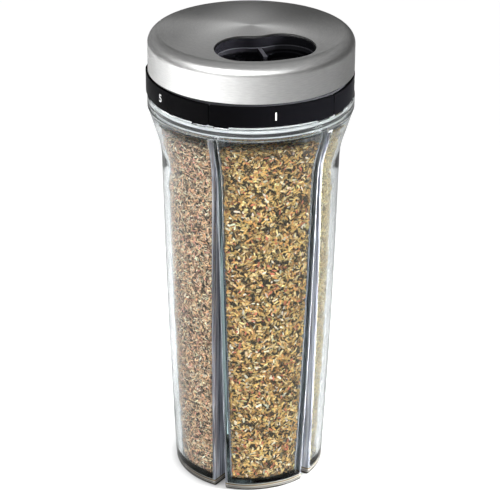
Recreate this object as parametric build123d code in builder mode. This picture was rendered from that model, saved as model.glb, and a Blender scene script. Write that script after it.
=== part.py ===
"""Five-chamber twist-top herb shaker, standing on its base.

Millimetres, +Z up, z = 0 on the table. The front is -Y: the open window, label 1 and
chamber 1 face it. Chambers and labels follow every 72 degrees, anticlockwise seen from above.
"""
import os
from math import asin, cos, degrees, radians, sin, sqrt

from build123d import *

os.makedirs("parts", exist_ok=True)

# ---------------------------------------------------------------- driving dimensions
CHAMBERS = 5
PITCH = 360 / CHAMBERS
CAP_R = 37.5                # steel cap, outside
CAP_H = 16.0
JAR_H = 149.0               # foot to chamber mouths
BAND_H = 7.55

RUN = 0.3                   # gap between bodies that turn or lift past each other
PLAY = 0.1                  # gap between pieces joined in one body

# jar
WALL = 2.0
FLOOR = 3.5
BASE_R = CAP_R - 8.7        # lobes at the foot
NECK_R = CAP_R - 4.9        # lobes where the flare starts
BELLY = 0.5                 # how far the lobes swell between the two
MIDDLE_R = (BASE_R + NECK_R) / 2 + BELLY
LEDGE_Z = JAR_H             # shelf inside the collar, level with the chamber mouths
NECK_Z = JAR_H - 29
FLARE_Z = JAR_H - 19
HIP_Z = JAR_H - 11
LIP_Z = JAR_H - 0.9
COLLAR_R = CAP_R + 0.3
COLLAR_BORE_R = COLLAR_R - 2.4
LIP_R = COLLAR_R - 0.45
COLLAR_Z = LEDGE_Z + 0.05
COLLAR_TOP_Z = JAR_H + 5.1
BEAD = 0.9
WELD_R, WELD_W, WELD_DEEP = COLLAR_R - 1.4, 1.0, 0.8      # tongue under the collar
MOUTH_R = COLLAR_BORE_R - 1.5

GROOVE_TOP_Z = LEDGE_Z - 1.4        # V-grooves between the lobes end under the collar
GROOVE_W = 4.3                      # mouth width at the foot
GROOVE_BOTTOM_W = 0.6
GROOVE_DEEP = 8.8                   # at the foot
GROOVE_V_BASE = BASE_R - GROOVE_DEEP
GROOVE_V_TOP = NECK_R + 0.9
CORNER_R = 0.7                      # rounding of the lobe corners

CELL_IN_R = 10.8            # inner wall of each chamber at the floor
WEB_HALF = 3.0              # half the wall between chambers at the floor
DRAFT = 0.82                # chambers open out upwards by this many degrees
CELL_CORNER_R = 1.6
WELL_R = 7.2
WELL_Z = LEDGE_Z - 6.0
FILL_TOP_Z = LEDGE_Z - 5.4

# label band and cap
PLATE_T = 1.2
PLATE_MID_R = CAP_R + 0.1   # label plate, middle of its face
SHIFT = 5.5                 # panel arcs are struck from this far behind the axis
BAND_LOW_Z = COLLAR_TOP_Z + RUN
BAND_TOP_Z = BAND_LOW_Z + BAND_H
TAB_W, TAB_DROP, TAB_T = 5.0, 0.45, 0.9
TAB_AT = 29.5               # degrees each side of a plate's middle
BARB_AT, BARB_W, BARB_H = 25.0, 4.0, 2.4

CAP_LOW_Z = BAND_TOP_Z + 1.1
CAP_TOP_Z = CAP_LOW_Z + CAP_H
DOME_RISE = 1.87
CAP_EDGE_Z = CAP_TOP_Z - DOME_RISE
CAP_FILLET = 4.38
SHEET = 0.6

WINDOW_MID_R = CAP_R - 15.3         # kidney window: centreline radius, half width, end centres
WINDOW_HALF = 10.8
WINDOW_END = 19.0
INSERT_WALL = 1.4
INSERT_RIM_Z = CAP_EDGE_Z - 2.5
INSERT_DEEP, INSERT_FLOOR = 3.3, 1.3
INSERT_Z = INSERT_RIM_Z - INSERT_DEEP

# port plate, rotor and pivot
SEAL_T = 1.0
PORT_Z, PORT_T = LEDGE_Z + SEAL_T, 2.2
PORT_TOP_Z = PORT_Z + PORT_T
RIM_R = COLLAR_BORE_R - RUN
RIM_IN_R = RIM_R - 2.4
RIM_TOP_Z = PORT_TOP_Z + 1.6
TONGUE_IN_R, TONGUE_R, TONGUE_H = RIM_IN_R + 0.6, RIM_IN_R + 1.5, 1.2
PORT_IN_R, PORT_OUT_R, PORT_HALF = 14.0, RIM_IN_R - 2.7, 14.0
PORT_CORNER_R = 2.0
ROTOR_Z, ROTOR_T = PORT_TOP_Z + RUN, 2.2
ROTOR_TOP_Z = ROTOR_Z + ROTOR_T
ROTOR_R = RIM_IN_R - RUN
DUCT_WALL = 1.6
SPIGOT_R = 4.0
SPIGOT_PLAY = 0.06
SPIGOT_Z = PORT_Z + 0.6
WASHER_R, WASHER_T = WELL_R - 1.0, 0.8
WASHER_TOP_Z = PORT_Z - 1.2
PIVOT_DEEP = 10.0                   # pivot screw's thread, above the washer's underside
TRACK_R, BALL_R = 10.0, 1.5
CLICKS = 2 * CHAMBERS
BALL_ANGLES = (18.0, 162.0)
BALL_Z = ROTOR_Z + 0.9
SCREW_R, SCREW_ANGLES = CAP_R - 11.5, (30.0, 90.0, 150.0)
POST_R, THREAD_R, SCREW_HEAD_R = 3.0, 1.1, 2.4
POST_Z = CAP_LOW_Z + 3.0            # where the rotor's posts meet the cap's posts
ORING_R = 0.75
ORING_Z = PORT_Z + 1.9
GUIDE_R = COLLAR_BORE_R - 0.9
GUIDE_IN_R = GUIDE_R - 1.5
RING_TOP_Z, GUIDE_TOP_Z = BAND_TOP_Z + 0.55, CAP_LOW_Z + 2.95
SKIRT_IN_R = GUIDE_R + RUN
INNER_T = 1.6


def polar(r, deg):
    return (r * cos(radians(deg)), r * sin(radians(deg)))


def sector(r_in, r_out, half, corner, mid=-90.0, mode=Mode.ADD):
    """Add a ring sector with rounded corners to the sketch being built."""
    pts = [polar(r_in, mid - half), polar(r_out, mid - half),
           polar(r_out, mid + half), polar(r_in, mid + half)]
    with BuildLine() as outline:
        Line(pts[0], pts[1])
        ThreePointArc(pts[1], polar(r_out, mid), pts[2])
        Line(pts[2], pts[3])
        ThreePointArc(pts[3], polar(r_in, mid), pts[0])
    face = make_face(outline.edges(), mode=Mode.PRIVATE).face()
    add(face.fillet_2d(corner, face.vertices()), mode=mode)


def kidney(grow, corner_less=0.15):
    """The window outline, made bigger all round by `grow`."""
    half = WINDOW_HALF + grow
    side = WINDOW_END + degrees(asin(half / WINDOW_MID_R))
    sector(WINDOW_MID_R - half, WINDOW_MID_R + half, side, half - corner_less)


def panels(mid_r):
    """Closed outline of five shallow arcs, one for each label."""
    across = SHIFT * cos(radians(PITCH / 2))
    corner_r = sqrt(across ** 2 - SHIFT ** 2 + (mid_r + SHIFT) ** 2) - across
    pts = [polar(corner_r, -90 + PITCH / 2 + PITCH * i) for i in range(CHAMBERS)]
    with BuildLine() as outline:
        for i in range(CHAMBERS):
            ThreePointArc(pts[i - 1], polar(mid_r, -90 + PITCH * i), pts[i])
    make_face(outline.edges())


def dome(z_less, r_less, low_z):
    """Outline of half the cap, shrunk by r_less and z_less, down to low_z."""
    r = CAP_R - r_less
    top, edge = CAP_TOP_Z - z_less, CAP_EDGE_Z - z_less
    f = CAP_FILLET - r_less
    q = f * sin(radians(45))
    with BuildLine() as outline:
        Polyline((0, top), (0, low_z), (r, low_z), (r, edge - f))
        ThreePointArc((r, edge - f), (r - f + q, edge - f + q), (r - f, edge))
        ball = ((r - f) ** 2 + (top - edge) ** 2) / (2 * (top - edge))
        turn = asin((r - f) / ball) / 2
        ThreePointArc((r - f, edge), (ball * sin(turn), top - ball + ball * cos(turn)), (0, top))
    make_face(outline.edges())


def finish(builder, label):
    builder.part.label = label
    export_step(builder.part, f"parts/{label}.step")


# ---------------------------------------------------------------- chamber body (clear)
def lobe_profile():
    """Half section of the jar's outside: foot, belly, flare and lip."""
    flare_r, hip_r = NECK_R + 0.25, NECK_R + 1.6
    foot = 1.4
    with BuildLine() as outline:
        Line((0, 0), (BASE_R - foot, 0))
        ThreePointArc((BASE_R - foot, 0), (BASE_R - 0.3 * foot, 0.3 * foot), (BASE_R, foot))
        ThreePointArc((BASE_R, foot), (MIDDLE_R, NECK_Z / 2), (NECK_R, NECK_Z))
        Line((NECK_R, NECK_Z), (flare_r, FLARE_Z))
        TangentArc((flare_r, FLARE_Z), (hip_r, HIP_Z), tangent=(flare_r - NECK_R, FLARE_Z - NECK_Z))
        Polyline((hip_r, HIP_Z), (LIP_R, LIP_Z), (LIP_R, LEDGE_Z), (0, LEDGE_Z), (0, 0))
    make_face(outline.edges())


def cell_profile(gap):
    """Half section of a chamber's round wall, `gap` inside the plastic."""
    w, low = WALL + gap, FLOOR + gap
    foot = 2.0
    with BuildLine() as outline:
        Line((0, low), (BASE_R - w - foot, low))
        ThreePointArc((BASE_R - w - foot, low), (BASE_R - w - 0.27 * foot, low + 0.3 * foot),
                      (BASE_R - w + 0.1, low + foot))
        ThreePointArc((BASE_R - w + 0.1, low + foot), (MIDDLE_R - w, NECK_Z / 2), (NECK_R - w, NECK_Z))
        ThreePointArc((NECK_R - w, NECK_Z), (NECK_R + 0.9 - w, FLARE_Z + 5), (MOUTH_R - gap, LEDGE_Z - 3))
        Polyline((MOUTH_R - gap, LEDGE_Z - 3), (MOUTH_R - gap, LEDGE_Z + 11), (0, LEDGE_Z + 11), (0, low))
    make_face(outline.edges())


def cell_wedge(gap):
    """Plan of one chamber at the floor, facing the front."""
    side = radians(-90 - PITCH / 2)
    out, across = (cos(side), sin(side)), (-sin(side), cos(side))
    web = WEB_HALF + gap
    a, b = [(out[0] * r + across[0] * web, out[1] * r + across[1] * web) for r in (CELL_IN_R + gap, CAP_R)]
    with BuildLine() as outline:
        Polyline(a, b, (-b[0], b[1]), (-a[0], a[1]), a)
    make_face(outline.edges())


def cell(gap, top):
    """One chamber hollow, shrunk by `gap` on every side and cut off at `top`."""
    with BuildPart(mode=Mode.PRIVATE) as hollow:
        with BuildSketch(Plane.XY.offset(FLOOR - 1)):
            cell_wedge(gap)
        extrude(amount=LEDGE_Z, taper=-DRAFT)
        with BuildSketch(Plane.XZ):
            cell_profile(gap)
        revolve(axis=Axis.Z, mode=Mode.INTERSECT)
        with BuildSketch(Plane.XY.offset(top)):
            Circle(2 * CAP_R)
        extrude(amount=30, mode=Mode.SUBTRACT)
        tall = [e for e in hollow.edges() if e.bounding_box().size.Z > 5
                and Vector(e.center().X, e.center().Y).length > CELL_IN_R + 9]
        fillet(tall, CELL_CORNER_R - gap)
    return hollow.part


with BuildPart() as chamber_body:
    with BuildSketch(Plane.XZ):
        lobe_profile()
    revolve(axis=Axis.Z)
    nose, reach = GROOVE_BOTTOM_W / 2, 2 * CAP_R
    mouth = nose + (GROOVE_W / 2 - nose) * (reach - GROOVE_V_BASE) / GROOVE_DEEP
    with BuildPart(mode=Mode.PRIVATE) as groove:
        with BuildSketch():
            with BuildLine():
                Polyline((GROOVE_V_BASE, -nose), (reach, -mouth), (reach, mouth), (GROOVE_V_BASE, nose),
                         (GROOVE_V_BASE, -nose))
            make_face()
        lean = Vector(GROOVE_V_TOP - GROOVE_V_BASE, 0, GROOVE_TOP_Z)
        extrude(amount=lean.length, dir=lean)
    with PolarLocations(0, CHAMBERS, start_angle=-90 + PITCH / 2):
        add(groove.part, mode=Mode.SUBTRACT)
    corners = [e for e in chamber_body.edges()
               if 1.4 < e.bounding_box().size.Z < GROOVE_TOP_Z
               and Vector(e.center().X, e.center().Y).length > BASE_R - 0.8]
    fillet(corners, CORNER_R)
    one_cell = cell(0, LEDGE_Z + 9)
    with PolarLocations(0, CHAMBERS, start_angle=0):
        add(one_cell, mode=Mode.SUBTRACT)
    with BuildSketch(Plane.XY.offset(WELL_Z)):
        Circle(WELL_R)
    extrude(amount=LEDGE_Z - WELL_Z, mode=Mode.SUBTRACT)
    with BuildSketch(Plane.XY.offset(LEDGE_Z - WELD_DEEP - PLAY)):
        Circle(WELD_R + WELD_W / 2 + PLAY)
        Circle(WELD_R - WELD_W / 2 - PLAY, mode=Mode.SUBTRACT)
    extrude(amount=WELD_DEEP + PLAY, mode=Mode.SUBTRACT)
finish(chamber_body, "chamber_body")

# ---------------------------------------------------------------- clear collar on the jar's rim
with BuildPart() as jar_collar:
    with BuildSketch(Plane.XZ):
        with BuildLine():
            low, bead_z = COLLAR_Z, COLLAR_Z + BEAD
            ThreePointArc((LIP_R, low), (COLLAR_R, low + BEAD / 2), (LIP_R, bead_z))
            Polyline((LIP_R, bead_z), (COLLAR_R, bead_z + 0.4), (COLLAR_R, COLLAR_TOP_Z - 0.3),
                     (COLLAR_R - 0.3, COLLAR_TOP_Z), (COLLAR_BORE_R, COLLAR_TOP_Z), (COLLAR_BORE_R, low),
                     (LIP_R, low))
        make_face()
        with Locations((WELD_R, low - WELD_DEEP / 2 + 0.1)):
            Rectangle(WELD_W, WELD_DEEP + 0.2)
    revolve(axis=Axis.Z)
    # rim notches for the label tabs
    with BuildSketch(Plane.XY.offset(COLLAR_TOP_Z - TAB_DROP - RUN)):
        for i in range(CHAMBERS):
            for at in (-90 + PITCH * i - TAB_AT, -90 + PITCH * i + TAB_AT):
                with Locations(Location((*polar(PLATE_MID_R + 0.6, at), 0), (0, 0, at))):
                    Rectangle(2 * (0.6 + TAB_T), TAB_W + 2 * RUN)
    extrude(amount=TAB_DROP + 2 * RUN, mode=Mode.SUBTRACT)
finish(jar_collar, "jar_collar")

# ---------------------------------------------------------------- herbs in the chambers
fill = cell(RUN, FILL_TOP_Z)
for i in range(CHAMBERS):
    with BuildPart() as herb_fill:
        with Locations(Location((0, 0, 0), (0, 0, PITCH * i))):
            add(fill)
    finish(herb_fill, f"herb_fill_{i + 1}")

# ---------------------------------------------------------------- gaskets
with BuildPart() as chamber_seal:
    with BuildSketch(Plane.XY.offset(LEDGE_Z)):
        Circle(RIM_R - PLAY)
        Circle(MOUTH_R + 0.2, mode=Mode.SUBTRACT)
        with PolarLocations((MOUTH_R + WELL_R) / 2 + 0.5, CHAMBERS, start_angle=-90 + PITCH / 2):
            Rectangle(MOUTH_R - WELL_R + 0.2, 1.4)
        Circle(WELL_R + 1.2)
        Circle(WELL_R + PLAY, mode=Mode.SUBTRACT)
    extrude(amount=SEAL_T)
finish(chamber_seal, "chamber_seal")

with BuildPart() as collar_seal:
    with BuildSketch(Plane.XZ):
        with Locations((COLLAR_BORE_R - PLAY - ORING_R, ORING_Z)):
            Circle(ORING_R)
    revolve(axis=Axis.Z)
finish(collar_seal, "collar_seal")

# ---------------------------------------------------------------- port plate
with BuildPart() as port_plate:
    with BuildSketch(Plane.XZ):
        with BuildLine():
            Polyline((SPIGOT_R + SPIGOT_PLAY, PORT_Z), (RIM_R, PORT_Z), (RIM_R, RIM_TOP_Z),
                     (TONGUE_R, RIM_TOP_Z), (TONGUE_R, RIM_TOP_Z + TONGUE_H),
                     (TONGUE_IN_R, RIM_TOP_Z + TONGUE_H), (TONGUE_IN_R, RIM_TOP_Z),
                     (RIM_IN_R, RIM_TOP_Z), (RIM_IN_R, PORT_TOP_Z),
                     (SPIGOT_R + SPIGOT_PLAY, PORT_TOP_Z), (SPIGOT_R + SPIGOT_PLAY, PORT_Z))
        make_face()
    revolve(axis=Axis.Z)
    with BuildSketch(Plane.XZ):
        with Locations((RIM_R, ORING_Z)):
            Rectangle(2 * (2 * ORING_R - RUN + 2 * PLAY), 2 * (ORING_R + PLAY))
    revolve(axis=Axis.Z, mode=Mode.SUBTRACT)
    # ball track: a shallow ring with one dimple at each click
    with BuildSketch(Plane.XZ):
        with Locations((TRACK_R, BALL_Z)):
            Circle(BALL_R + PLAY)
    revolve(axis=Axis.Z, mode=Mode.SUBTRACT)
    with Locations(*[(*polar(TRACK_R, 90 + 360 / CLICKS * i), BALL_Z - 0.35) for i in range(CLICKS)]):
        Sphere(BALL_R + PLAY, mode=Mode.SUBTRACT)
    for i in range(CHAMBERS):
        with BuildSketch(Plane.XY.offset(PORT_Z)):
            sector(PORT_IN_R, PORT_OUT_R, PORT_HALF, PORT_CORNER_R, -90 + PITCH * i)
        extrude(amount=PORT_T, mode=Mode.SUBTRACT)
finish(port_plate, "port_plate")

# ---------------------------------------------------------------- label ring and plates
SEAT_R = PLATE_MID_R - PLATE_T
BARB_Z = (BAND_LOW_Z + BAND_TOP_Z) / 2

with BuildPart() as label_ring:
    with BuildSketch(Plane.XY.offset(COLLAR_TOP_Z)):
        panels(SEAT_R)
    extrude(amount=RING_TOP_Z - COLLAR_TOP_Z)
    with BuildSketch(Plane.XY.offset(RIM_TOP_Z)):
        Circle(RIM_R)
    extrude(amount=GUIDE_TOP_Z - RIM_TOP_Z)
    with BuildSketch(Plane.XY.offset(RING_TOP_Z)):
        Circle(2 * CAP_R)
        Circle(GUIDE_R, mode=Mode.SUBTRACT)
    extrude(amount=CAP_H, mode=Mode.SUBTRACT)
    with BuildSketch(Plane.XY.offset(RIM_TOP_Z)):
        Circle(GUIDE_IN_R)
    extrude(amount=30, mode=Mode.SUBTRACT)
    # groove over the port plate's tongue
    with BuildSketch(Plane.XY.offset(RIM_TOP_Z)):
        Circle(TONGUE_R + PLAY)
        Circle(TONGUE_IN_R - PLAY, mode=Mode.SUBTRACT)
    extrude(amount=TONGUE_H + PLAY, mode=Mode.SUBTRACT)
    # sockets for the barbs behind each plate
    for i in range(CHAMBERS):
        for at in (-90 + PITCH * i - BARB_AT, -90 + PITCH * i + BARB_AT):
            with Locations(Location((*polar(PLATE_MID_R - 1.0, at), BARB_Z), (0, 0, at))):
                Box(3.2, BARB_W, BARB_H, mode=Mode.SUBTRACT)
finish(label_ring, "label_ring")

PLATE_HALF = PITCH / 2 - 0.22
for i in range(CHAMBERS):
    mid = -90 + PITCH * i
    with BuildPart() as label_plate:
        with BuildSketch(Plane.XY.offset(BAND_LOW_Z)):
            panels(PLATE_MID_R)
            with BuildSketch(mode=Mode.PRIVATE) as seat:
                panels(SEAT_R + PLAY)
            add(seat.sketch.face(), mode=Mode.SUBTRACT)
            with BuildLine():
                far = 2 * CAP_R
                Polyline((0, 0), polar(far, mid - PLATE_HALF), polar(far, mid + PLATE_HALF), (0, 0))
            make_face(mode=Mode.INTERSECT)
        extrude(amount=BAND_TOP_Z - BAND_LOW_Z)
        outer = sorted(label_plate.faces(), key=lambda f: Vector(f.center().X, f.center().Y).length)[-1]
        long_edges = [e for e in outer.edges() if e.bounding_box().size.Z < 0.1]
        chamfer(long_edges, 0.3)
        for at in (mid - TAB_AT, mid + TAB_AT):
            with Locations(Location((*polar(PLATE_MID_R - 0.15, at), BAND_LOW_Z - TAB_DROP / 2 + 0.1),
                                    (0, 0, at))):
                Box(TAB_T, TAB_W, TAB_DROP + 0.2)
        for at in (mid - BARB_AT, mid + BARB_AT):
            with Locations(Location((*polar(PLATE_MID_R - 1.4, at), BARB_Z), (0, 0, at))):
                Box(2.2, BARB_W - 2 * PLAY, BARB_H - 2 * PLAY)
    finish(label_plate, f"label_plate_{i + 1}")

# ---------------------------------------------------------------- rotor base with the duct
with BuildPart() as rotor_base:
    with BuildSketch(Plane.XY.offset(ROTOR_Z)):
        Circle(ROTOR_R)
    extrude(amount=ROTOR_T)
    # duct, widening from the port to the window
    with BuildSketch(Plane.XY.offset(ROTOR_TOP_Z - 0.4)):
        sector(PORT_IN_R - DUCT_WALL, PORT_OUT_R + DUCT_WALL, PORT_HALF + 4.5, PORT_CORNER_R + 1)
    with BuildSketch(Plane.XY.offset(INSERT_Z - PLAY)):
        kidney(-0.2, 0.4)
    loft()
    # posts for the cap's screws, the click balls and the pivot screw
    with BuildSketch(Plane.XY.offset(ROTOR_TOP_Z)):
        with Locations(*[polar(SCREW_R, a) for a in SCREW_ANGLES]):
            Circle(POST_R)
    extrude(amount=POST_Z - ROTOR_TOP_Z)
    with BuildSketch(Plane.XY.offset(ROTOR_TOP_Z)):
        with Locations(*[polar(TRACK_R, a) for a in BALL_ANGLES]):
            Circle(BALL_R + 1.2)
        Circle(SPIGOT_R + 1.0)
    extrude(amount=5.4)
    with BuildSketch(Plane.XY.offset(SPIGOT_Z)):
        Circle(SPIGOT_R)
    extrude(amount=ROTOR_Z - SPIGOT_Z)
    with BuildSketch(Plane.XY.offset(ROTOR_TOP_Z - 0.1)):
        sector(PORT_IN_R, PORT_OUT_R, PORT_HALF, PORT_CORNER_R)
    with BuildSketch(Plane.XY.offset(INSERT_Z)):
        kidney(-0.2 - DUCT_WALL, 0.4)
    loft(mode=Mode.SUBTRACT)
    with BuildSketch(Plane.XY.offset(ROTOR_Z - 1)):
        sector(PORT_IN_R, PORT_OUT_R, PORT_HALF, PORT_CORNER_R)
    extrude(amount=ROTOR_T + 1, mode=Mode.SUBTRACT)
    with BuildSketch(Plane.XY.offset(WASHER_TOP_Z)):
        Circle(THREAD_R + 0.45)
    extrude(amount=PIVOT_DEEP, mode=Mode.SUBTRACT)
    with BuildSketch(Plane.XY.offset(ROTOR_Z - 1)):
        with Locations(*[polar(TRACK_R, a) for a in BALL_ANGLES]):
            Circle(BALL_R + PLAY)
    extrude(amount=7.2, mode=Mode.SUBTRACT)
    with BuildSketch(Plane.XY.offset(ROTOR_Z - 1)):
        with Locations(*[polar(SCREW_R, a) for a in SCREW_ANGLES]):
            Circle(THREAD_R + 0.4)
    extrude(amount=CAP_H + 4, mode=Mode.SUBTRACT)
    with BuildSketch(Plane.XY.offset(ROTOR_Z - 1)):
        with Locations(*[polar(SCREW_R, a) for a in SCREW_ANGLES]):
            Circle(SCREW_HEAD_R + 0.3)
    extrude(amount=3.0, mode=Mode.SUBTRACT)
    # recess for the mouth seal
    with BuildSketch(Plane.XY.offset(ROTOR_Z)):
        sector(PORT_IN_R - 1.5, PORT_OUT_R + 1.5, PORT_HALF + 3.6, PORT_CORNER_R + 1)
    extrude(amount=0.9, mode=Mode.SUBTRACT)
finish(rotor_base, "rotor_base")

with BuildPart() as rotor_seal:
    with BuildSketch(Plane.XY.offset(PORT_TOP_Z + PLAY)):
        sector(PORT_IN_R - 1.5 + PLAY, PORT_OUT_R + 1.5 - PLAY, PORT_HALF + 3.4, PORT_CORNER_R + 0.9)
        sector(PORT_IN_R, PORT_OUT_R, PORT_HALF, PORT_CORNER_R, mode=Mode.SUBTRACT)
    extrude(amount=ROTOR_Z + 0.9 - PORT_TOP_Z - PLAY)
finish(rotor_seal, "rotor_seal")

# ---------------------------------------------------------------- cap: inner shell and steel skin
with BuildPart() as inner_cap:
    with BuildSketch(Plane.XZ):
        dome(SHEET + PLAY, SHEET + PLAY, CAP_LOW_Z - 0.15)
    revolve(axis=Axis.Z)
    with BuildSketch(Plane.XZ):
        dome(SHEET + PLAY + INNER_T, CAP_R - SKIRT_IN_R, CAP_LOW_Z - 1)
    revolve(axis=Axis.Z, mode=Mode.SUBTRACT)
    # wall round the window, ending level with the insert's rim
    with BuildSketch(Plane.XY.offset(INSERT_RIM_Z)):
        kidney(INSERT_WALL)
    extrude(amount=5)
    with BuildSketch(Plane.XZ):
        dome(SHEET + PLAY, SHEET + PLAY, CAP_LOW_Z - 1)
    revolve(axis=Axis.Z, mode=Mode.INTERSECT)
    with BuildSketch(Plane.XY.offset(INSERT_RIM_Z - 1)):
        kidney(-0.5)
    extrude(amount=10, mode=Mode.SUBTRACT)
    with BuildSketch(Plane.XY.offset(POST_Z)):
        with Locations(*[polar(SCREW_R, a) for a in SCREW_ANGLES]):
            Circle(POST_R)
    extrude(amount=CAP_EDGE_Z - SHEET - 0.7 - POST_Z)
    with BuildSketch(Plane.XY.offset(POST_Z)):
        with Locations(*[polar(SCREW_R, a) for a in SCREW_ANGLES]):
            Circle(THREAD_R + 0.05)
    extrude(amount=7.5, mode=Mode.SUBTRACT)
finish(inner_cap, "inner_cap")

with BuildPart() as steel_cap:
    with BuildSketch(Plane.XZ):
        dome(0, 0, CAP_LOW_Z)
    revolve(axis=Axis.Z)
    with BuildSketch(Plane.XZ):
        dome(SHEET, SHEET, CAP_LOW_Z - 1)
    revolve(axis=Axis.Z, mode=Mode.SUBTRACT)
    with BuildSketch(Plane.XY.offset(CAP_LOW_Z + 5)):
        kidney(0)
    extrude(amount=20, mode=Mode.SUBTRACT)
finish(steel_cap, "steel_cap")

# ---------------------------------------------------------------- dispensing insert
INSERT_TOP_Z = INSERT_Z + INSERT_FLOOR
POUR_R = 6.6
lobe = polar(WINDOW_MID_R, -90 - WINDOW_END)
holes = [(lobe[0] + 3.0 * (i + 0.5 * (j % 2)), lobe[1] + 2.6 * j) for i in range(-4, 5) for j in range(-4, 5)]
holes = [(x, y) for x, y in holes if (x - lobe[0]) ** 2 + (y - lobe[1]) ** 2 < 8.4 ** 2 and x < -2.0]
with BuildPart() as dispensing_insert:
    with BuildSketch(Plane.XY.offset(INSERT_Z)):
        kidney(INSERT_WALL)
        Circle(SKIRT_IN_R - 0.8, mode=Mode.INTERSECT)
    extrude(amount=INSERT_RIM_Z - INSERT_Z)
    with BuildSketch(Plane.XY.offset(INSERT_TOP_Z)):
        kidney(-1.1)
    extrude(amount=10, mode=Mode.SUBTRACT)
    # rib between the two lobes
    with BuildSketch(Plane.XY.offset(INSERT_TOP_Z - 0.1)):
        with Locations((0, -(WINDOW_MID_R - WINDOW_HALF + 4.9))):
            Rectangle(1.4, 10.6)
    extrude(amount=INSERT_RIM_Z - INSERT_TOP_Z + 0.1)
    with BuildSketch(Plane.XY.offset(INSERT_TOP_Z - 0.1)):
        with Locations((0, -(WINDOW_MID_R + WINDOW_HALF / 2 - 0.6))):
            Rectangle(1.4, WINDOW_HALF + 1.2)
    extrude(amount=0.9)
    # raised lip round the pour hole, then the hole
    pour = polar(WINDOW_MID_R, -90 + WINDOW_END)
    with BuildSketch(Plane.XY.offset(INSERT_TOP_Z - 0.1)):
        with Locations(pour):
            Circle(POUR_R + 1.0)
    extrude(amount=0.7)
    with BuildSketch(Plane.XY.offset(INSERT_Z - 1)):
        with Locations(pour):
            Circle(POUR_R)
        with Locations(*holes):
            Circle(0.9)
    extrude(amount=5, mode=Mode.SUBTRACT)
finish(dispensing_insert, "dispensing_insert")

# ---------------------------------------------------------------- fasteners, balls and springs
HEAD_Z = ROTOR_Z + 0.6
with BuildPart() as rotor_screws:
    with BuildSketch(Plane.XY.offset(HEAD_Z)):
        with Locations(*[polar(SCREW_R, a) for a in SCREW_ANGLES]):
            Circle(SCREW_HEAD_R)
    extrude(amount=1.4)
    with BuildSketch(Plane.XY.offset(HEAD_Z + 1.4)):
        with Locations(*[polar(SCREW_R, a) for a in SCREW_ANGLES]):
            Circle(THREAD_R)
    extrude(amount=POST_Z + 7 - HEAD_Z - 1.4)
    with BuildSketch(Plane.XY.offset(HEAD_Z)):
        with Locations(*[polar(SCREW_R, a) for a in SCREW_ANGLES]):
            Rectangle(2.6, 0.6)
            Rectangle(0.6, 2.6)
    extrude(amount=0.7, mode=Mode.SUBTRACT)
finish(rotor_screws, "rotor_screws")

with BuildPart() as pivot_washer:
    with BuildSketch(Plane.XY.offset(WASHER_TOP_Z - WASHER_T)):
        Circle(WASHER_R)
    extrude(amount=WASHER_T)
    with BuildSketch(Plane.XY.offset(WASHER_TOP_Z)):
        Circle(SPIGOT_R)
    extrude(amount=SPIGOT_Z - WASHER_TOP_Z)
    with BuildSketch(Plane.XY.offset(WASHER_TOP_Z - WASHER_T)):
        Circle(THREAD_R + 0.5)
    extrude(amount=PORT_T + WASHER_T + 1, mode=Mode.SUBTRACT)
finish(pivot_washer, "pivot_washer")

with BuildPart() as disc_spring:
    with BuildSketch(Plane.XZ):
        with BuildLine():
            Polyline((SPIGOT_R + 0.2, WASHER_TOP_Z + 0.5), (WASHER_R - 0.1, WASHER_TOP_Z),
                     (WASHER_R - 0.1, WASHER_TOP_Z + 0.4), (SPIGOT_R + 0.2, WASHER_TOP_Z + 0.9),
                     (SPIGOT_R + 0.2, WASHER_TOP_Z + 0.5))
        make_face()
    revolve(axis=Axis.Z)
finish(disc_spring, "disc_spring")

WASHER_Z = WASHER_TOP_Z - WASHER_T
with BuildPart() as pivot_screw:
    with BuildSketch(Plane.XZ):
        with BuildLine():
            Polyline((0, WASHER_Z - 2.2), (2.2, WASHER_Z - 2.2), (3.1, WASHER_Z - 1.6), (3.1, WASHER_Z),
                     (THREAD_R + 0.4, WASHER_Z), (THREAD_R + 0.4, WASHER_Z + PIVOT_DEEP), (0, WASHER_Z + PIVOT_DEEP + 0.6),
                     (0, WASHER_Z - 2.2))
        make_face()
    revolve(axis=Axis.Z)
    with BuildSketch(Plane.XY.offset(WASHER_Z - 2.2)):
        Rectangle(3.4, 0.8)
        Rectangle(0.8, 3.4)
    extrude(amount=1.2, mode=Mode.SUBTRACT)
finish(pivot_screw, "pivot_screw")

with BuildPart() as detent_balls:
    with Locations(*[(*polar(TRACK_R, a), BALL_Z) for a in BALL_ANGLES]):
        Sphere(BALL_R)
finish(detent_balls, "detent_balls")

COILS, COIL_RISE = 5, 0.72
with BuildPart() as detent_springs:
    for k in range(COILS):
        with BuildSketch(Plane.XY.offset(BALL_Z + BALL_R + 0.1 + COIL_RISE * k)):
            with Locations(*[polar(TRACK_R, a) for a in BALL_ANGLES]):
                Circle(BALL_R - 0.3)
                Circle(BALL_R - 0.75, mode=Mode.SUBTRACT)
        extrude(amount=0.4)
finish(detent_springs, "detent_springs")
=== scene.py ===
"""Looks, light and camera for the five-chamber herb shaker. Metres, +Z up, the front is -Y."""
from math import cos, pi, radians, sin

import bmesh
import bpy
import numpy as np
from mathutils import Matrix, Vector


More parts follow.
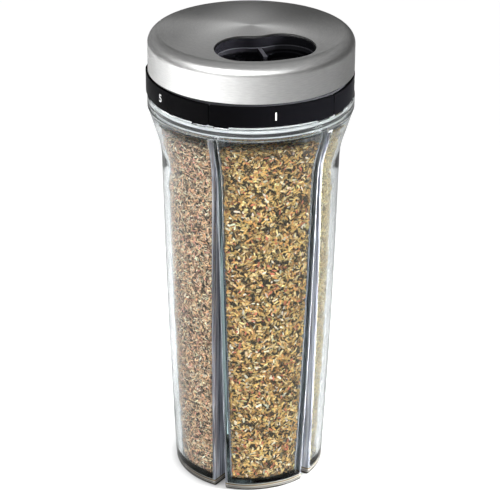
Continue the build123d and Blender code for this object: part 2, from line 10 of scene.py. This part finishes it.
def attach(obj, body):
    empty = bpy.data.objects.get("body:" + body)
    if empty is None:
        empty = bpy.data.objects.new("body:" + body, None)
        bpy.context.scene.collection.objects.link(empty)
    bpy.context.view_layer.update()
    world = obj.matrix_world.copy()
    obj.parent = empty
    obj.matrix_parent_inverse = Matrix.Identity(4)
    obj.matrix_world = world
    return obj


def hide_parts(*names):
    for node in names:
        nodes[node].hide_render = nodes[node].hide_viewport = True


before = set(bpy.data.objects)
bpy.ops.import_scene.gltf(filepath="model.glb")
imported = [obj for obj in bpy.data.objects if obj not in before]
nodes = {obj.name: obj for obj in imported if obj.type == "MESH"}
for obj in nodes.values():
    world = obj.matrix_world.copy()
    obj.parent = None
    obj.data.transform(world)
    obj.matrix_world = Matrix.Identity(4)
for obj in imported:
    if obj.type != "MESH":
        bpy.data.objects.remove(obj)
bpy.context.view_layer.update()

MM = 0.001
CHAMBERS = 5
PITCH = 2 * pi / CHAMBERS
WHITE = (1, 1, 1, 1)

# ------------------------------------------------------------------ node helpers


class Nodes:
    """Adds nodes to one tree and links them. Its shortcuts return the new node's output socket."""

    def __init__(self, tree):
        self.tree = tree

    def link(self, source, target):
        self.tree.links.new(source, target)

    def add(self, kind, links=(), **values):
        """A node with its settings and constant inputs, and links given as (source, input) pairs."""
        node = self.tree.nodes.new(kind)
        for key, value in values.items():
            if hasattr(node, key):
                setattr(node, key, value)
            else:
                node.inputs[key.replace("_", " ")].default_value = value
        for source, socket in links:
            self.link(source, node.inputs[socket])
        return node

    def math(self, operation, *operands, use_clamp=False):
        """A Math node on sockets and numbers."""
        node = self.add("ShaderNodeMath", operation=operation, use_clamp=use_clamp)
        for slot, operand in enumerate(operands):
            if isinstance(operand, (int, float)):
                node.inputs[slot].default_value = operand
            else:
                self.link(operand, node.inputs[slot])
        return node.outputs[0]

    def remap(self, value, low, high, to_low=0.0, to_high=1.0, smooth=False):
        """Takes low to to_low and high to to_high, and stops there."""
        node = self.add("ShaderNodeMapRange", [(value, "Value")], From_Min=low, From_Max=high,
                        To_Min=to_low, To_Max=to_high,
                        interpolation_type="SMOOTHSTEP" if smooth else "LINEAR")
        return node.outputs[0]

    def ramp(self, factor, *stops):
        """A colour ramp with (position, colour) stops."""
        node = self.add("ShaderNodeValToRGB", [(factor, "Fac")])
        elements = node.color_ramp.elements
        while len(elements) < len(stops):
            elements.new(1.0)
        for element, (position, colour) in zip(elements, stops):
            element.position = position
            element.color = (*colour, 1.0)
        return node.outputs[0]

    def place(self):
        return self.add("ShaderNodeTexCoord").outputs["Object"]

    def height(self):
        return self.add("ShaderNodeSeparateXYZ", [(self.place(), 0)]).outputs["Z"]

    def polar(self):
        """The distance from the axis, the angle round it and the height, in metres and radians."""
        parts = self.add("ShaderNodeSeparateXYZ", [(self.place(), 0)])
        flat = self.add("ShaderNodeCombineXYZ", [(parts.outputs["X"], 0), (parts.outputs["Y"], 1)])
        radius = self.add("ShaderNodeVectorMath", [(flat.outputs[0], 0)], operation="LENGTH")
        angle = self.math("ARCTAN2", parts.outputs["Y"], parts.outputs["X"])
        return radius.outputs["Value"], angle, parts.outputs["Z"]

    def noise(self, where, scale, detail=2.0):
        node = self.add("ShaderNodeTexNoise", [(where, "Vector")], Scale=scale, Detail=detail)
        return node.outputs["Fac"]

    def lines(self, first, second, third, scale, detail):
        """Noise along three axes of one's own."""
        where = self.add("ShaderNodeCombineXYZ", [(first, 0), (second, 1), (third, 2)])
        return self.noise(where.outputs[0], scale, detail)

    def bump(self, height, strength, distance):
        node = self.add("ShaderNodeBump", [(height, "Height")], Strength=strength, Distance=distance)
        return node.outputs[0]

    def blend(self, factor, first, second):
        """A colour mix, from the first, a colour or a socket, to the second, a socket."""
        node = self.add("ShaderNodeMix", [(factor, "Factor"), (second, "B")], data_type="RGBA")
        if isinstance(first, tuple):
            node.inputs["A"].default_value = first
        else:
            self.link(first, node.inputs["A"])
        return node.outputs["Result"]


class Material(Nodes):
    """A fresh material, with its Principled shader."""

    def __init__(self, name, **values):
        self.mat = bpy.data.materials.new(name)
        self.mat.use_nodes = True
        super().__init__(self.mat.node_tree)
        self.shader = self.tree.nodes["Principled BSDF"]
        for key, value in values.items():
            self.set(key, value)

    def set(self, key, value):
        """Sets a shader input to a number or a colour, or links a socket to it."""
        target = self.shader.inputs[key.replace("_", " ")]
        if isinstance(value, (int, float, tuple)):
            target.default_value = value
        else:
            self.link(value, target)


# ------------------------------------------------------------------ materials
CLEAR_TINT = (0.97, 0.985, 0.985, 1)
CLEAR_SHEEN = (0.3, 0.3, 0.3, 1)    # weak reflections, so that no veil lies over the herbs
PLASTIC_TEAL = (0.78, 0.87, 0.88, 1)
PLASTIC_DEPTH = 50.0        # the plastic's teal shows only where light goes far through it
RIB_HALF = 3.3 * MM         # half the width of the ribs' painted slate shade at the foot
RIB_DRAFT = 0.0143          # how much of it they lose with the height
RIB_EDGE = 0.5 * MM         # the ribs fade out over this width
RIB_TOP_Z = 149.0 * MM
RIB_FADE = 2.0 * MM         # and over this height at their top
RIB_CLEAR = 0.5             # share of light that goes through a rib
RIB_BLUR = 0.14
RIB_STRETCH = 0.02          # how fast the ribs' streaks change with the height
GROOVE_SHADE_TONES = ((0.36, (0.12, 0.13, 0.155)), (0.52, (0.34, 0.36, 0.42)), (0.66, (0.72, 0.75, 0.82)))
FOOT_Z = 3.5 * MM           # the foot's painted light, dark and amber lines reach this high
FOOT_SWAY = 0.8 * MM        # how far they wander up and down
FOOT_SOLID = 0.7            # share of light that they stop
FOOT_PAINTED_LINES = ((0.0, (0.012, 0.01, 0.006)), (0.36, (0.02, 0.016, 0.01)), (0.43, (0.2, 0.195, 0.18)),
              (0.53, (0.05, 0.045, 0.04)), (0.66, (0.24, 0.24, 0.23)), (0.76, (0.12, 0.075, 0.03)),
              (0.88, (0.05, 0.045, 0.03)), (1.0, (0.1, 0.15, 0.15)))


def clear_plastic():
    """Clear plastic with fine scuffs; the ribs between the chambers get painted slate shade with streaks
    of light.
    """
    new = Material("clear_plastic", IOR=1.38, Specular_Tint=CLEAR_SHEEN)
    radius, angle, height = new.polar()
    turned = new.math("ADD", angle, pi / 2 + PITCH / 2 + 2 * PITCH)
    reach = new.math("MULTIPLY", new.math("PINGPONG", turned, PITCH / 2), radius)
    wide = new.math("MULTIPLY_ADD", height, RIB_DRAFT, reach)
    beside = new.remap(wide, RIB_HALF, RIB_HALF - RIB_EDGE, smooth=True)
    below = new.remap(height, RIB_TOP_Z, RIB_TOP_Z - RIB_FADE, smooth=True)
    rib = new.math("MULTIPLY", beside, below)
    streaks = new.lines(radius, reach, new.math("MULTIPLY", height, RIB_STRETCH), 900.0, 2.0)
    # painted shade and light: slate streaks on the ribs between the chambers stand in for the light seen
    # through the grooves
    tint_and_groove_shade = new.blend(rib, CLEAR_TINT, new.ramp(streaks, *GROOVE_SHADE_TONES))
    clear = new.remap(rib, 0.0, 1.0, 1.0, RIB_CLEAR)

    # painted light, dark and amber lines in the thick foot, standing in for the light and the herbs'
    # colour seen refracted in it
    where = new.place()
    level = new.math("MULTIPLY_ADD", new.noise(where, 70.0), -FOOT_SWAY, height)
    foot = new.remap(level, -FOOT_SWAY / 2, FOOT_Z - FOOT_SWAY / 2)
    solid = new.remap(foot, 1.0, 0.88)
    new.set("Base Color", new.blend(solid, tint_and_groove_shade, new.ramp(foot, *FOOT_PAINTED_LINES)))
    new.set("Transmission Weight", new.math("MULTIPLY_ADD", solid, -FOOT_SOLID, clear, use_clamp=True))

    scuffs = new.remap(new.noise(where, 260.0, 4.0), 0.45, 0.75, 0.0, 0.03)
    new.set("Roughness", new.math("ADD", scuffs, new.math("MULTIPLY", rib, RIB_BLUR)))
    new.set("Normal", new.bump(new.noise(where, 45.0, 1.0), 0.06, 0.4 * MM))
    body = new.add("ShaderNodeVolumeAbsorption", Density=PLASTIC_DEPTH, Color=PLASTIC_TEAL)
    new.link(body.outputs[0], new.tree.nodes["Material Output"].inputs["Volume"])
    return new.mat


def brushed_steel():
    """Steel with fine rings round the axis, from the turning and brushing."""
    new = Material("brushed_steel", Metallic=1.0, Anisotropic=0.75)
    radius, angle, height = new.polar()
    grain = new.lines(radius, height, new.math("MULTIPLY", angle, 0.004), 3200.0, 3.0)
    new.set("Base Color", new.ramp(grain, (0.3, (0.62, 0.62, 0.615)), (0.7, (0.72, 0.72, 0.71))))
    new.set("Roughness", new.remap(grain, 0.0, 1.0, 0.32, 0.44))
    new.set("Normal", new.bump(grain, 0.06, 0.04 * MM))
    tangent = new.add("ShaderNodeTangent", direction_type="RADIAL", axis="Z")
    new.set("Tangent", tangent.outputs[0])
    return new.mat


def moulded(name, colour, low, high, scale=900.0, **values):
    """Moulded plastic or rubber: a slightly uneven colour and a fine surface."""
    new = Material(name, **values)
    grain = new.noise(new.place(), scale, 4.0)
    new.set("Base Color", new.ramp(grain, (0.3, tuple(c * 0.88 for c in colour)), (0.7, colour)))
    new.set("Roughness", new.remap(grain, 0.0, 1.0, low, high))
    new.set("Normal", new.bump(grain, 0.05, 0.05 * MM))
    return new.mat


def turned_metal(name, colour, low, high):
    return moulded(name, colour, low, high, 2400.0, Metallic=1.0)


EDGE_DEPTH = 2.0 * MM       # from the insert's rim down to its floor
# painted highlight tones by height, from the insert's floor up to its rim
EDGE_HIGHLIGHT_TONES = ((0.0, (0.0, 0.0, 0.0)), (0.22, (0.0, 0.0, 0.0)), (0.3, (0.006, 0.006, 0.007)),
              (0.9, (0.006, 0.006, 0.007)), (0.97, (0.035, 0.035, 0.04)))


def lit_edges(mat, rim_z):
    """Painted highlight: the insert's rim, rib and lip are painted lighter by height, as if they caught
    the light; its floor stays black.
    """
    new = Nodes(mat.node_tree)
    target = mat.node_tree.nodes["Principled BSDF"].inputs["Base Color"]
    own = target.links[0].from_socket
    edge_highlight = new.ramp(new.remap(new.height(), rim_z - EDGE_DEPTH, rim_z), *EDGE_HIGHLIGHT_TONES)
    total = new.add("ShaderNodeVectorMath", [(own, 0), (edge_highlight, 1)], operation="ADD")
    new.link(total.outputs[0], target)
    return mat


def herb_material(name):
    """Dried leaf: each flake's own colour, with painted shade on deep flakes and on the core, mottled,
    and a rough surface.
    """
    new = Material(name)
    own = new.add("ShaderNodeVertexColor", layer_name="flake")
    mottle = new.noise(new.place(), 1400.0, 3.0)
    shade = new.remap(mottle, 0.3, 0.7, 0.65, 1.15)
    colour = new.add("ShaderNodeVectorMath", [(own.outputs["Color"], 0), (shade, "Scale")],
                     operation="SCALE")
    new.set("Base Color", colour.outputs[0])
    new.set("Roughness", new.remap(mottle, 0.0, 1.0, 0.65, 0.9))
    new.set("Normal", new.bump(mottle, 0.4, 0.2 * MM))
    return new.mat


def top_of(node_name):
    return max(v.co.z for v in nodes[node_name].data.vertices)


DULL = 0.015                # specular level of the blacks, which are nearly black in the photo
WALL_DULL = 0.08
JET = (0.002, 0.002, 0.0025)
CLEAR = clear_plastic()
STEEL = brushed_steel()
BLACK = moulded("black_gloss_plastic", JET, 0.1, 0.2, 500.0, Specular_IOR_Level=DULL)
RING_BLACK = moulded("black_ring_plastic", (0.025, 0.025, 0.028), 0.3, 0.4, 500.0)
WINDOW_BLACK = moulded("black_wall_plastic", (0.004, 0.004, 0.005), 0.2, 0.3, 500.0,
                       Specular_IOR_Level=WALL_DULL)
SATIN_BLACK = moulded("black_satin_plastic", (0.02, 0.02, 0.022), 0.35, 0.5, Specular_IOR_Level=DULL)
INSERT_BLACK = lit_edges(moulded("black_insert_plastic", JET, 0.1, 0.2, 500.0, Specular_IOR_Level=DULL),
                         top_of("dispensing_insert"))
GREY = moulded("grey_plastic", (0.03, 0.03, 0.032), 0.3, 0.45)
SILICONE = moulded("silicone", (0.7, 0.71, 0.72), 0.35, 0.5, 600.0)
PRINT = moulded("white_print", (0.8, 0.8, 0.8), 0.4, 0.5, 3000.0)
HARDWARE = turned_metal("screw_steel", (0.55, 0.55, 0.54), 0.25, 0.4)
BALL_STEEL = turned_metal("ball_steel", (0.75, 0.75, 0.75), 0.05, 0.12)

for group, mat in (
    (("chamber_body", "jar_collar"), CLEAR),
    (("steel_cap",), STEEL),
    (("inner_cap",), WINDOW_BLACK),
    (("label_ring",), RING_BLACK),
    (("dispensing_insert",), INSERT_BLACK),
    (tuple(f"label_plate_{i + 1}" for i in range(CHAMBERS)), BLACK),
    (("rotor_base",), SATIN_BLACK),
    (("port_plate",), GREY),
    (("chamber_seal", "collar_seal", "rotor_seal"), SILICONE),
    (("rotor_screws", "pivot_screw", "pivot_washer", "disc_spring", "detent_springs"), HARDWARE),
    (("detent_balls",), BALL_STEEL),
):
    for node_name in group:
        mesh = nodes[node_name].data
        mesh.materials.clear()
        mesh.materials.append(mat)

# ------------------------------------------------------------------ herbs
# the flakes' length and width in mm, how many layers they lie in, and their colours with shares
HERBS = {
    1: dict(long=(0.9, 2.4), wide=(0.4, 0.95), layers=2.3,
            colours=(((0.80, 0.53, 0.18), 5), ((0.68, 0.36, 0.11), 4), ((0.95, 0.74, 0.36), 3),
                     ((0.24, 0.13, 0.05), 2), ((0.95, 0.88, 0.68), 1), ((0.66, 0.20, 0.11), 0.8))),
    2: dict(long=(1.8, 4.2), wide=(0.25, 0.5), layers=4.0,
            colours=(((0.95, 0.75, 0.36), 5), ((0.82, 0.61, 0.25), 4), ((0.95, 0.86, 0.56), 3),
                     ((0.42, 0.32, 0.14), 2.5))),
    3: dict(long=(0.8, 2.0), wide=(0.5, 1.1), layers=3.6,
            colours=(((0.40, 0.38, 0.17), 5), ((0.28, 0.28, 0.11), 4), ((0.55, 0.50, 0.26), 2))),
    4: dict(long=(0.9, 2.4), wide=(0.6, 1.4), layers=3.6,
            colours=(((0.36, 0.44, 0.15), 5), ((0.25, 0.33, 0.10), 4), ((0.52, 0.56, 0.26), 2))),
    5: dict(long=(0.9, 2.1), wide=(0.3, 0.7), layers=2.6,
            colours=(((0.95, 0.63, 0.37), 5), ((0.80, 0.45, 0.24), 4), ((0.95, 0.82, 0.56), 3.5),
                     ((0.24, 0.14, 0.09), 2.5), ((0.86, 0.40, 0.29), 1))),
}
HERB_SEED = 40
CORE_SHADE_COLOUR = (0.03, 0.02, 0.01)
CORE_INSET = 1.1 * MM       # the heap under the flakes, painted dark as shade, starts this far in
SKIN = 0.05 * MM            # no flake comes closer to the chamber's wall
DEEP = 0.9 * MM             # flakes lie this deep, and the deepest get the most painted shade
DEEP_SHADE = 0.05
# how thickly flakes lie on the heap's top, at the outer wall, at the side walls and at the middle
TOP_SHARE, OUTER_SHARE, SIDE_SHARE, INNER_SHARE = 1.6, 1.0, 0.45, 0.05
LEAN, LEAN_MAX = 0.38, 0.9  # spread and limit of a flake's tilt, in radians
CURL = 0.35                 # how far a flake's long edges curl, as a share of half its width
TAPER = (0.25, 0.9)         # width of a flake's ends, as a share of the middle's
FLAKE_CORNERS = 6
SHADE_SPREAD, HUE_SPREAD = 0.16, 0.04
SHADE_LIMITS = (0.6, 1.4)
COLOUR_LIMITS = (0.01, 0.95)


def triangles(obj):
    """Corners, unit normals and areas of a mesh's triangles."""
    mesh = obj.data
    mesh.calc_loop_triangles()
    corners = np.array([t.vertices[:] for t in mesh.loop_triangles])
    points = np.array([v.co[:] for v in mesh.vertices])
    a, b, c = (points[corners[:, k]] for k in range(3))
    cross = np.cross(b - a, c - a)
    area = np.linalg.norm(cross, axis=1) / 2
    keep = area > 1e-12
    return a[keep], b[keep], c[keep], cross[keep] / (2 * area[keep, None]), area[keep]


def flakes(number, spec):
    """Thousands of bent leaf scraps lying against the inside of one chamber's walls and on top."""
    rng = np.random.default_rng(HERB_SEED + number)
    a, b, c, normal, area = triangles(nodes[f"herb_fill_{number}"])
    middle = (a + b + c) / 3
    outward = np.einsum("ij,ij->i", normal[:, :2], middle[:, :2]) / np.linalg.norm(middle[:, :2], axis=1)
    wall = np.where(outward > 0.3, OUTER_SHARE, np.where(outward < -0.5, INNER_SHARE, SIDE_SHARE))
    weight = area * np.where(normal[:, 2] > 0.5, TOP_SHARE, wall)
    size = (np.mean(spec["long"]) * np.mean(spec["wide"])) * MM * MM
    count = int(weight.sum() * spec["layers"] / size)
    pick = rng.choice(len(area), count, p=weight / weight.sum())
    u, v = rng.random((2, count))
    flip = u + v > 1
    u[flip], v[flip] = 1 - u[flip], 1 - v[flip]
    place = a[pick] + u[:, None] * (b[pick] - a[pick]) + v[:, None] * (c[pick] - a[pick])
    n = normal[pick]
    long = rng.uniform(*spec["long"], count) * MM / 2
    wide = rng.uniform(*spec["wide"], count) * MM / 2
    lean = rng.normal(0, LEAN, count).clip(-LEAN_MAX, LEAN_MAX)
    sunk = rng.random(count)
    place = place - n * (sunk * DEEP + long * np.abs(np.sin(lean)) + SKIN)[:, None]
    side = np.cross(n, rng.normal(size=(count, 3)))
    side /= np.linalg.norm(side, axis=1)[:, None]
    along = np.cross(n, side) * np.cos(lean)[:, None] + n * np.sin(lean)[:, None]
    up = np.cross(side, along)
    curl = rng.uniform(-CURL, CURL, count)[:, None] * wide[:, None]
    ends = along * long[:, None]
    edge = side * wide[:, None]
    taper = rng.uniform(*TAPER, (count, 1))
    rows = [place - ends - edge * taper, place - ends * 0.9 + edge * taper,
            place - edge + up * curl, place + edge + up * curl,
            place + ends * 0.9 - edge * taper, place + ends + edge * taper * 0.8]
    points = np.stack(rows, axis=1).reshape(-1, 3)
    base = np.arange(count)[:, None] * FLAKE_CORNERS
    faces = np.concatenate([base + [0, 1, 3, 2], base + [2, 3, 5, 4]], axis=1).reshape(-1, 4)
    shares = np.array([s for _, s in spec["colours"]], float)
    palette = np.array([col for col, _ in spec["colours"]])
    own = palette[rng.choice(len(shares), count, p=shares / shares.sum())]
    own = own * rng.normal(1.0, SHADE_SPREAD, (count, 1)).clip(*SHADE_LIMITS)
    own = own * rng.normal(1.0, HUE_SPREAD, (count, 3))
    # painted shade: the deeper a flake lies, the darker its colour
    own = own * (1 - (1 - DEEP_SHADE) * sunk[:, None])
    return points, faces, own.clip(*COLOUR_LIMITS)


def herb_heap(number, spec, mat):
    """One chamber's herbs as a mesh of flakes round a core painted dark as shade, standing for its CAD
    solid.
    """
    points, faces, own = flakes(number, spec)
    shell = bmesh.new()
    shell.from_mesh(nodes[f"herb_fill_{number}"].data)
    bmesh.ops.remove_doubles(shell, verts=shell.verts, dist=0.01 * MM)
    shell.normal_update()
    core = np.array([v.co - v.normal * CORE_INSET for v in shell.verts])
    core_faces = [[len(points) + v.index for v in f.verts] for f in shell.faces]
    shell.free()
    mesh = bpy.data.meshes.new(f"herbs_{number}")
    mesh.from_pydata(np.concatenate([points, core]).tolist(), [], faces.tolist() + core_faces)
    colour = mesh.color_attributes.new("flake", "FLOAT_COLOR", "POINT")
    shade = np.ones((len(mesh.vertices), 4))
    shade[:len(points), :3] = np.repeat(own, FLAKE_CORNERS, axis=0)
    # painted shade: the core shows dark in the gaps between flakes
    shade[len(points):, :3] = CORE_SHADE_COLOUR
    colour.data.foreach_set("color", shade.ravel())
    mesh.materials.append(mat)
    heap = bpy.data.objects.new(f"herbs_{number}", mesh)
    bpy.context.collection.objects.link(heap)
    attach(heap, "jar")
    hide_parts(f"herb_fill_{number}")


LEAF = herb_material("dried_leaf")
for number, spec in HERBS.items():
    herb_heap(number, spec, LEAF)

# ------------------------------------------------------------------ numbers on the label plates
DIGIT_HEIGHT = 2.9 * MM
FONT_CAPS = 0.72            # height of a digit at a text size of 1
PLATE_FACE_R = 37.6 * MM
BAND_MIDDLE_Z = 158.175 * MM
PRINT_LIFT = 0.02 * MM
PRINT_DEPTH = 0.03 * MM
PRINT_BOLD = 0.04 * MM


def label_number(number):
    text = bpy.data.curves.new(f"number_{number}", "FONT")
    text.body = str(number)
    text.align_x = "CENTER"
    text.align_y = "CENTER"
    text.size = DIGIT_HEIGHT / FONT_CAPS
    text.extrude = PRINT_DEPTH
    text.offset = PRINT_BOLD
    obj = bpy.data.objects.new(f"number_{number}", text)
    turn = (number - 1) * PITCH
    out = Vector((sin(turn), -cos(turn), 0))
    spot = out * (PLATE_FACE_R + PRINT_LIFT) + Vector((0, 0, BAND_MIDDLE_Z))
    stand = Matrix.Rotation(turn, 4, "Z") @ Matrix.Rotation(radians(90), 4, "X")
    obj.matrix_world = Matrix.Translation(spot) @ stand
    bpy.context.collection.objects.link(obj)
    text.materials.append(PRINT)
    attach(obj, "head")


for number in range(1, CHAMBERS + 1):
    label_number(number)

# ------------------------------------------------------------------ floor and light
FLOOR_SIZE = 6
FLOOR_DROP = 0.0001
FLOOR_TONE = 0.45
FLOOR_GLOW = 0.8
FLOOR_THROUGH = 0.6         # share of that glow that clear plastic shows
FLOOR_THROUGH_R = (3.0, 2.5)        # it fades in between these distances
SHADOW_R = (24 * MM, 36 * MM)       # the glow fades away under the jar, so a shadow shows at its foot
SHADOW_GLOW = 0.1
WORLD_LEVEL = 0.07
WORLD_THROUGH = 0.8         # share of the white background that clear plastic shows
# the world's pale patch overhead: direction, cosine where it starts and where it is full, strength
PATCH_TOWARDS = (-0.1, -0.3, 1.0)
PATCH_COSINES = (0.3, 0.95)
PATCH_STRENGTH = 0.4
# name, place, aim, size, power in watts
SOFTBOXES = (
    ("key", (-0.8, -0.75, 0.6), (0, 0, 0.1), (0.7, 0.9), 11.0),
    ("front", (-0.2, -1.2, 0.6), (0, 0, 0.08), (0.8, 0.6), 5.5),
    ("back", (0.19, 0.85, 0.75), (0, 0, 0.17), (0.1, 0.8), 0.3),
)
# the same with a spread in degrees; the first two light the floor that the steel mirrors
HIDDEN_LAMPS = (
    ("table_front", (-0.25, -0.7, 0.7), (-0.25, -0.6, 0), (0.4, 0.4), 1.0, 70),
    ("table_left", (-0.55, -0.25, 0.7), (-0.55, -0.15, 0), (0.4, 0.4), 6.0, 70),
    ("side", (0.75, -0.35, 0.3), (0, 0, 0.1), (0.3, 0.3), 2.8, 24),
)


def studio_floor():
    """White paper: it glows towards the camera and, near the jar, through clear plastic."""
    bpy.ops.mesh.primitive_plane_add(size=FLOOR_SIZE, location=(0, 0, -FLOOR_DROP))
    floor = bpy.context.object
    floor.name = "floor"
    new = Material("white_paper", Roughness=0.9, Specular_IOR_Level=0.1, Emission_Color=WHITE)
    where = new.place()
    new.set("Base Color", new.ramp(new.noise(where, 400.0), (0.3, (FLOOR_TONE - 0.01,) * 3),
                                   (0.7, (FLOOR_TONE,) * 3)))
    path = new.add("ShaderNodeLightPath")
    off = new.add("ShaderNodeVectorMath", [(where, 0)], operation="LENGTH").outputs["Value"]
    near = new.remap(off, *FLOOR_THROUGH_R, 0.0, FLOOR_THROUGH, smooth=True)
    through = new.math("MULTIPLY", path.outputs["Is Transmission Ray"], near)
    seen = new.math("MAXIMUM", path.outputs["Is Camera Ray"], through)
    shadow = new.remap(off, *SHADOW_R, SHADOW_GLOW * FLOOR_GLOW, FLOOR_GLOW, smooth=True)
    new.set("Emission Strength", new.math("MULTIPLY", seen, shadow))
    floor.data.materials.append(new.mat)


def studio_world():
    """White towards the camera; for light and reflections dim, with one pale patch overhead."""
    world = bpy.data.worlds.new("studio")
    bpy.context.scene.world = world
    world.use_nodes = True
    new = Nodes(world.node_tree)
    towards = new.add("ShaderNodeTexCoord").outputs["Generated"]
    dot = new.add("ShaderNodeVectorMath", [(towards, 0)], operation="DOT_PRODUCT")
    dot.inputs[1].default_value = Vector(PATCH_TOWARDS).normalized()
    patch = new.remap(dot.outputs["Value"], *PATCH_COSINES, 0.0, PATCH_STRENGTH, smooth=True)
    level = new.math("ADD", patch, WORLD_LEVEL)
    path = new.add("ShaderNodeLightPath")
    through = new.math("MULTIPLY", path.outputs["Is Transmission Ray"], WORLD_THROUGH)
    seen = new.math("MAXIMUM", path.outputs["Is Camera Ray"], through)
    strength = new.add("ShaderNodeMix", [(seen, "Factor"), (level, "A")], B=1.0)
    back = world.node_tree.nodes["Background"]
    back.inputs["Color"].default_value = WHITE
    new.link(strength.outputs["Result"], back.inputs["Strength"])


def softbox(name, place, aim, size, power):
    lamp = bpy.data.lights.new(name, "AREA")
    lamp.shape = "RECTANGLE"
    lamp.size, lamp.size_y = size
    lamp.energy = power
    obj = bpy.data.objects.new(name, lamp)
    obj.location = place
    obj.rotation_euler = (Vector(aim) - Vector(place)).to_track_quat("-Z", "Y").to_euler()
    bpy.context.collection.objects.link(obj)
    obj.visible_camera = False
    return obj


studio_floor()
studio_world()
for box in SOFTBOXES:
    softbox(*box)
for *box, spread in HIDDEN_LAMPS:
    lamp = softbox(*box)
    lamp.visible_glossy = False
    lamp.data.spread = radians(spread)

# ------------------------------------------------------------------ camera, from the photograph
CAMERA_PLACE = Vector((-0.1497, -0.6282, 0.4003))
CAMERA_TURN, CAMERA_PITCH, CAMERA_ROLL = radians(13.4), radians(25.702), radians(-0.333)
LENS, SENSOR = 136.1, 36.0

camera_data = bpy.data.cameras.new("camera")
camera_data.lens = LENS
camera_data.sensor_width = SENSOR
camera = bpy.data.objects.new("camera", camera_data)
forward = Vector((sin(CAMERA_TURN) * cos(CAMERA_PITCH), cos(CAMERA_TURN) * cos(CAMERA_PITCH),
                  -sin(CAMERA_PITCH)))
right = Vector((cos(CAMERA_TURN), -sin(CAMERA_TURN), 0))
up = right.cross(forward)
camera_up = up * cos(CAMERA_ROLL) + right * sin(CAMERA_ROLL)
camera_right = forward.cross(camera_up)
camera.matrix_world = Matrix((
    (camera_right.x, camera_up.x, -forward.x, CAMERA_PLACE.x),
    (camera_right.y, camera_up.y, -forward.y, CAMERA_PLACE.y),
    (camera_right.z, camera_up.z, -forward.z, CAMERA_PLACE.z),
    (0, 0, 0, 1),
))
bpy.context.collection.objects.link(camera)
bpy.context.scene.camera = camera
bpy.context.scene.view_settings.view_transform = "Standard"
